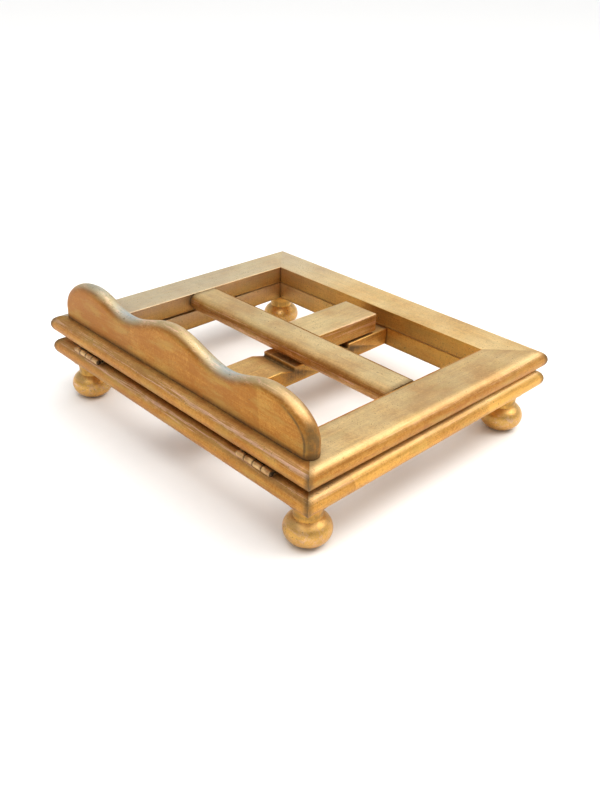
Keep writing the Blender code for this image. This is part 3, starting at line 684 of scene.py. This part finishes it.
def add_stem(place):
    """The prop's stem, from the crossbar's back to its foot. Its length is along its own X."""
    bar_lo, bar_hi = box_in(place, "crossbar")
    lo, hi = box_in(place, "prop_stem")
    thickness = bar_hi.z - bar_lo.z
    half = (hi.x - lo.x) / 2
    outline = upper_section(half, thickness) + lower_section(half, 0.0)
    stations = round((hi.y - bar_hi.y) / STATION_GAP)
    rings = []
    for i in range(stations + 1):
        along = bar_hi.y + (hi.y - bar_hi.y) * i / stations
        rings.append([(along, x, z) for x, z in outline])
    bm = bmesh.new()
    loft(bm, rings)
    hand_finish(bm, 6)

    def wear(point):
        return near(abs(point.y), half, 0.002) * near(point.z, thickness, 0.002)

    spot = place @ Matrix.Translation((0.0, 0.0, bar_lo.z)) @ Matrix.Rotation(math.pi / 2, 4, "Z")
    skin = gilding("gilding_stem", 11.3, 0.43, 0.65)
    add_piece("gilt_prop_stem", bm, "prop", skin, spot, ["prop_stem"], wear)


def notch_walls():
    """Where the upright walls of the notches stand, from front to back."""
    return [FIRST_WALL_Y + i * NOTCH_PITCH for i in range(NOTCH_COUNT)]


def plank_line(start, end, top):
    """(y, z) along the plank's notched top from its front end to its back end."""
    root, nose = NOTCH_ROOT_RADIUS, NOTCH_NOSE_RADIUS
    slope = math.degrees(math.atan2(NOTCH_DEPTH, NOTCH_RAMP))
    points = [(start, top)]
    for wall in notch_walls():
        points.append((wall - NOTCH_RAMP, top))
        floor = (wall - root, top - NOTCH_DEPTH + root)
        points += arc(floor, root, root, 270 - slope, 360, NOTCH_ARC_STEPS)
        points += arc((wall + nose, top - nose), nose, nose, 180, 90, NOTCH_ARC_STEPS)
    return with_stations(points + [(end, top)])


def with_stations(points):
    """The line with points added, so that no two are further apart than a station."""
    filled = [points[0]]
    for first, second in zip(points, points[1:]):
        steps = math.ceil(math.dist(first, second) / STATION_GAP)
        for step in range(1, steps + 1):
            share = step / steps
            filled.append(tuple(a + (b - a) * share for a, b in zip(first, second)))
    return filled


def shrunk(points, distance):
    """A closed outline of (y, z) moved inwards. It runs anticlockwise."""
    moved = []
    for i, (y, z) in enumerate(points):
        before = Vector(points[i - 1])
        after = Vector(points[(i + 1) % len(points)])
        along = (after - before).normalized()
        moved.append((y - along.y * distance, z + along.x * distance))
    return moved


def add_plank():
    """The notched plank between the front and back rails of the base."""
    lo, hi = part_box("ratchet_plank")
    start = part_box("base_front_rail")[1].y
    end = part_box("base_back_rail")[0].y
    outline = with_stations([(start, lo.z), (end, lo.z)]) + plank_line(start, end, hi.z)[::-1]
    side = hi.x - EDGE_RADIUS
    full_width = [(side, 0.0)] + between((side, 0.0), (-side, 0.0), FACE_STEPS) + [(-side, 0.0)]
    stations = [(hi.x, EDGE_RADIUS)] + full_width + [(lo.x, EDGE_RADIUS)]
    bm = bmesh.new()
    loft(bm, [[(y, -x, z) for y, z in shrunk(outline, inset)] for x, inset in stations])
    hand_finish(bm, 8)

    def grime(point):
        # Darker low in each notch, beside its wall
        low = near(point.z, hi.z - NOTCH_DEPTH, NOTCH_DEPTH)
        return low * max(near(point.x, wall, 0.005) for wall in notch_walls())

    def wear(point):
        return 0.5 * max(near(point.x, wall + 0.001, 0.003) for wall in notch_walls())

    skin = gilding("gilding_plank", 13.9, 0.50, 0.35)
    spin = Matrix.Rotation(math.pi / 2, 4, "Z")
    add_piece("gilt_ratchet_plank", bm, "base", skin, spin, ["ratchet_plank"], wear, grime)


def foot_profile(ball_radius, top):
    """(radius, height) from the sole up to the collar's top."""
    sole_angle = math.degrees(math.acos(FOOT_SOLE_RADIUS / ball_radius))
    neck_angle = math.degrees(math.acos(NECK_RADIUS / ball_radius))
    ball_z = BALL_HALF_HEIGHT * math.sin(math.radians(sole_angle))
    ball = arc((0.0, ball_z), ball_radius, BALL_HALF_HEIGHT, -sole_angle, neck_angle, BALL_STEPS)
    collar_low = top - COLLAR_HEIGHT
    cove_low = ball[-1][1] + NECK_HEIGHT
    cove_width = COLLAR_RADIUS - NECK_RADIUS
    cove = arc((COLLAR_RADIUS, cove_low), cove_width, collar_low - cove_low, 180, 90, COVE_STEPS)
    rim_centre = (COLLAR_RADIUS - EDGE_RADIUS, collar_low + EDGE_RADIUS)
    rim = arc(rim_centre, EDGE_RADIUS, EDGE_RADIUS, -90, 0, EDGE_STEPS)
    return [(0.0, 0.0)] + ball + cove + rim + [(COLLAR_RADIUS, top), (0.0, top)]


def add_feet():
    """The four turned feet, a little dirty all over and more so at the neck and the sole."""
    rail_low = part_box("base_front_rail")[0].z
    for number, corner in enumerate(("front_left", "front_right", "back_left", "back_right")):
        node = "foot_" + corner
        lo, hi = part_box(node)
        ball_radius = (hi.x - lo.x) / 2
        bm = turned(foot_profile(ball_radius, rail_low), FOOT_SEGMENTS)
        hand_finish(bm, 20 + number)

        def wear(point):
            return near(point.z, BALL_HALF_HEIGHT, BALL_HALF_HEIGHT * 0.8)

        def grime(point):
            rings = max(near(point.z, 2 * BALL_HALF_HEIGHT, 0.005), near(point.z, 0.0, 0.003))
            return 0.12 + 0.25 * rings

        skin = gilding("gilding_" + node, 15.0 + number * 1.3, 0.80, 0.45, rough=0.24)
        spot = Matrix.Translation(((lo.x + hi.x) / 2, (lo.y + hi.y) / 2, 0.0))
        add_piece("gilt_" + node, bm, "base", skin, spot, [node], wear, grime)


# ---------------------------------------------------------------- metal and hidden pieces


def eased_block(bm, lo, hi):
    """A block between two corners, with eased edges."""
    size = Vector(hi) - Vector(lo)
    place = Matrix.Translation((Vector(hi) + Vector(lo)) / 2) @ Matrix.Diagonal((*size, 1.0))
    made = bmesh.ops.create_cube(bm, size=1.0, matrix=place)
    edges = {edge for vert in made["verts"] for edge in vert.link_edges}
    bmesh.ops.bevel(bm, geom=list(edges), offset=METAL_EDGE, segments=2, profile=0.5, affect="EDGES")


def add_knuckle(bm, start, end):
    """A short tube along X with eased rims, for the pin to pass through."""
    rim = KNUCKLE_RADIUS - METAL_EDGE
    places = (METAL_EDGE, KNUCKLE_GRIME / 2, KNUCKLE_GRIME)
    section = [(start, KNUCKLE_BORE), (start, rim)]
    section += [(start + inward, KNUCKLE_RADIUS) for inward in places]
    section += [(end - inward, KNUCKLE_RADIUS) for inward in reversed(places)]
    section += [(end, rim), (end, KNUCKLE_BORE)]
    turns = [2 * math.pi * i / KNUCKLE_SEGMENTS for i in range(KNUCKLE_SEGMENTS)]
    rows = [[(x, r * math.cos(a), r * math.sin(a)) for a in turns] for x, r in section]
    made = grid(bm, rows, closed=True)
    inner, outer = made[0], made[-1]
    for i in range(KNUCKLE_SEGMENTS):
        j = (i + 1) % KNUCKLE_SEGMENTS
        bm.faces.new((inner[i], outer[i], outer[j], inner[j]))


def add_leaf(node, body, place, turned_over, material):
    """A hinge leaf: a plate behind the pin, with every second knuckle round it."""
    if turned_over:
        place = place @ Matrix.Rotation(math.pi, 4, "Y")
    lo, hi = box_in(place, node)
    low, high = LEAF_HEIGHTS
    bm = bmesh.new()
    front = KNUCKLE_RADIUS + LEAF_CLEARANCE
    eased_block(bm, (lo.x, front, low), (hi.x, hi.y, high))
    length = (hi.x - lo.x - (KNUCKLE_COUNT - 1) * KNUCKLE_GAP) / KNUCKLE_COUNT
    pitch = length + KNUCKLE_GAP
    for i in range(0, KNUCKLE_COUNT, 2):
        start = lo.x + i * pitch
        add_knuckle(bm, start, start + length)
        eased_block(bm, (start, KNUCKLE_BORE, low), (start + length, front + METAL_EDGE * 2, high))
    joints = [lo.x - KNUCKLE_GAP / 2 + i * pitch for i in range(KNUCKLE_COUNT + 1)]

    def grime(point):
        return max(near(point.x, joint, KNUCKLE_GRIME) for joint in joints)

    add_piece("gilt_" + node, bm, body, material, place, [node], grime=grime)


def add_pin(node, place, material):
    """A hinge pin with a low domed head at each end."""
    lo, hi = box_in(place, node)
    head = (hi.y - lo.y) / 2
    middle = (lo.x + hi.x) / 2
    reach = (hi.x - lo.x) / 2
    neck = reach - PIN_HEAD_LENGTH
    dome = arc((0.0, neck), head, PIN_HEAD_LENGTH, 0, 80, 6)
    upper = [(PIN_RADIUS, neck)] + dome + [(0.0, reach)]
    profile = [(r, -z) for r, z in reversed(upper)] + upper
    bm = turned(profile, PIN_SEGMENTS)
    spot = place @ Matrix.Translation((middle, 0.0, 0.0)) @ Matrix.Rotation(math.pi / 2, 4, "Y")
    add_piece("worn_" + node, bm, "base", material, spot, [node])


def add_screw(node, body, place, up, material):
    """A countersunk wood screw with a slotted head that faces up or down."""
    spin = Matrix.Identity(4) if up > 0 else Matrix.Rotation(math.pi, 4, "X")
    lo, hi = box_in(place @ spin, node)
    head = (hi.x - lo.x) / 2
    length = hi.z - lo.z
    shank = head * SHANK_SHARE
    profile = [
        (0.0, -length),
        (head * TIP_SHARE, -length),
        (shank, -length + head),
        (shank, shank - head),
        (head, 0.0),
        (head * SLOT_REACH, HEAD_RISE),
        (0.0, HEAD_RISE),
    ]
    bm = turned(profile, SCREW_SEGMENTS)
    cut_slot(bm, head)
    middle = Vector(((lo.x + hi.x) / 2, (lo.y + hi.y) / 2, hi.z))
    add_piece("worn_" + node, bm, body, material, place @ spin @ Matrix.Translation(middle), [node])


def cut_slot(bm, head):
    """Sinks a screwdriver slot into the flat top of a head."""
    half_width = head * SLOT_HALF_WIDTH
    for side in (-1, 1):
        everything = list(bm.verts) + list(bm.edges) + list(bm.faces)
        line = (0.0, side * half_width, 0.0)
        bmesh.ops.bisect_plane(bm, geom=everything, plane_co=line, plane_no=(0.0, 1.0, 0.0))
    bm.normal_update()
    faces = []
    for face in bm.faces:
        centre = face.calc_center_median()
        flat_top = centre.z > HEAD_RISE * 0.99
        if flat_top and abs(centre.y) < half_width:
            faces.append(face)
    made = bmesh.ops.extrude_face_region(bm, geom=faces)
    sunk = [item for item in made["geom"] if isinstance(item, bmesh.types.BMVert)]
    bmesh.ops.translate(bm, verts=sunk, vec=(0.0, 0.0, -SLOT_DEPTH))
    bmesh.ops.delete(bm, geom=faces, context="FACES")


def add_hinges(place, top_place, steel):
    """Both hinges with their screws, and the three ledge screws."""
    brass = worn_metal("brass_gilded_over", (0.40, 0.21, 0.08), (0.66, 0.43, 0.19), 0.7)
    dark = worn_metal("pin_blackened", (0.02, 0.014, 0.01), (0.12, 0.075, 0.04), 0.8)
    for side in ("left", "right"):
        add_leaf(f"hinge_{side}_base_leaf", "base", place, False, brass)
        add_leaf(f"hinge_{side}_top_leaf", "top_frame", top_place, True, brass)
        add_pin(f"hinge_{side}_pin", place, dark)
        for number in (1, 2, 3):
            add_screw(f"hinge_{side}_base_screw_{number}", "base", place, 1, steel)
            add_screw(f"hinge_{side}_top_screw_{number}", "top_frame", top_place, -1, steel)
    for name in ("left", "centre", "right"):
        add_screw("ledge_screw_" + name, "top_frame", top_place, -1, steel)


def dress(node, material):
    """Gives a CAD node that stays in view its finish."""
    mesh = frame["nodes"][node].data
    mesh.materials.clear()
    mesh.materials.append(material)


def dress_inner_nodes(steel):
    """Finishes the tongues and pivot pins, which lie inside the wood as the CAD has them."""
    wood = bare_wood()
    for node in frame["nodes"]:
        if "tongue" in node:
            dress(node, wood)
        elif node.startswith("pivot_pin"):
            dress(node, steel)


# ---------------------------------------------------------------- studio


def add_camera():
    """The camera that the photograph was taken with, as fitted to the stand's corners."""
    azimuth, elevation, roll = map(math.radians, (CAMERA_AZIMUTH, CAMERA_ELEVATION, CAMERA_ROLL))
    flat = math.cos(elevation)
    back = Vector((math.sin(azimuth) * flat, -math.cos(azimuth) * flat, math.sin(elevation)))
    right = Vector((0.0, 0.0, 1.0)).cross(back).normalized()
    up = back.cross(right)
    side = right * math.cos(roll) + up * math.sin(roll)
    rise = up * math.cos(roll) - right * math.sin(roll)
    camera = bpy.data.cameras.new("camera")
    camera.lens = CAMERA_LENS
    camera.sensor_width = 36.0
    camera.shift_x, camera.shift_y = CAMERA_SHIFT
    obj = bpy.data.objects.new("camera", camera)
    turn = Matrix((side, rise, back)).transposed().to_4x4()
    spot = Vector((0.0, 0.0, CAMERA_TARGET_Z)) + back * CAMERA_DISTANCE
    obj.matrix_world = Matrix.Translation(spot) @ turn
    bpy.context.scene.collection.objects.link(obj)
    bpy.context.scene.camera = obj


def add_softbox(name, azimuth, elevation, size, power, color):
    """A square area light that faces the object. Its azimuth turns from the front, -Y, to the right, +X."""
    azimuth, elevation = math.radians(azimuth), math.radians(elevation)
    flat = math.cos(elevation)
    toward = Vector((math.sin(azimuth) * flat, -math.cos(azimuth) * flat, math.sin(elevation)))
    light = bpy.data.lights.new(name, "AREA")
    light.size = size
    light.energy = power
    light.color = color
    obj = bpy.data.objects.new(name, light)
    obj.location = toward * SOFTBOX_DISTANCE
    obj.rotation_mode = "QUATERNION"
    obj.rotation_quaternion = toward.to_track_quat("Z", "Y")
    bpy.context.scene.collection.objects.link(obj)


def add_skylight():
    """Soft light from above, as even as an overcast sky's."""
    light = bpy.data.lights.new("skylight", "SUN")
    light.energy = SKYLIGHT_STRENGTH
    light.angle = math.radians(SKYLIGHT_SPREAD)
    light.color = (1.0, 0.99, 0.97)
    obj = bpy.data.objects.new("skylight", light)
    obj.rotation_euler = (*map(math.radians, SKYLIGHT_LEAN), 0.0)
    bpy.context.scene.collection.objects.link(obj)


def add_surroundings():
    """An even glow round the object, bright at the horizon and dimmer above."""
    world = bpy.data.worlds.new("studio")
    world.use_nodes = True
    tree = world.node_tree
    background = tree.nodes["Background"]
    background.inputs["Color"].default_value = (0.98, 0.99, 1.0, 1.0)
    toward = tree.nodes.new("ShaderNodeTexCoord")
    split = tree.nodes.new("ShaderNodeSeparateXYZ")
    fade = tree.nodes.new("ShaderNodeMapRange")
    fade.interpolation_type = "SMOOTHSTEP"
    for socket, value in zip(fade.inputs[1:5], (*HORIZON_BAND, HORIZON_GLOW, ZENITH_GLOW)):
        socket.default_value = value
    tree.links.new(toward.outputs["Generated"], split.inputs[0])
    tree.links.new(split.outputs[2], fade.inputs[0])
    tree.links.new(fade.outputs[0], background.inputs["Strength"])
    bpy.context.scene.world = world
    bpy.context.scene.view_settings.view_transform = "Standard"


def add_floor():
    """A plain white floor, wide enough for every view."""
    mesh = bpy.data.meshes.new("floor")
    bm = bmesh.new()
    bmesh.ops.create_grid(bm, x_segments=1, y_segments=1, size=FLOOR_HALF_SIZE)
    bm.to_mesh(mesh)
    bm.free()
    n = Nodes("floor_white")
    fine = n.noise(n.add("TexCoord").outputs["Object"], 90.0, 3.0)
    n.set(Base_Color=n.mix(fine, (0.86, 0.86, 0.86), (0.88, 0.88, 0.88)), Roughness=0.9)
    n.put(n.shader.inputs["Specular IOR Level"], 0.1)
    mesh.materials.append(n.material)
    floor = bpy.data.objects.new("floor", mesh)
    bpy.context.scene.collection.objects.link(floor)


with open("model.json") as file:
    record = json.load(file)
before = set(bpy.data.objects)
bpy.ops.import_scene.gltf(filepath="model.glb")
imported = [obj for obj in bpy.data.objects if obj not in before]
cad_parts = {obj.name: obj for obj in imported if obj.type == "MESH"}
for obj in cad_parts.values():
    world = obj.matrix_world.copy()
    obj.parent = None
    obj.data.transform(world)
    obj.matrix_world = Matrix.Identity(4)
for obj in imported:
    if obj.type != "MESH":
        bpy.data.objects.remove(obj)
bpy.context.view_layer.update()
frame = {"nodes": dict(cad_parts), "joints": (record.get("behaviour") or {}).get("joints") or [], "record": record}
tilt = closed_tilt()
top_place = joint_place("frame_hinge", tilt)
pivot_place = joint_place("prop_pivot", tilt)
add_rails("base", Matrix.Identity(4), "base")
add_rails("top", top_place, "top_frame")
add_ledge(top_place)
add_crossbar(pivot_place)
add_stem(pivot_place)
add_plank()
add_feet()
steel = worn_metal("steel_worn", (0.20, 0.17, 0.13), (0.46, 0.42, 0.36), 1.0)
add_hinges(joint_place("frame_hinge", 0.0), top_place, steel)
dress_inner_nodes(steel)
add_camera()
add_surroundings()
add_skylight()
for name, settings in SOFTBOXES.items():
    add_softbox(name, *settings)
add_floor()
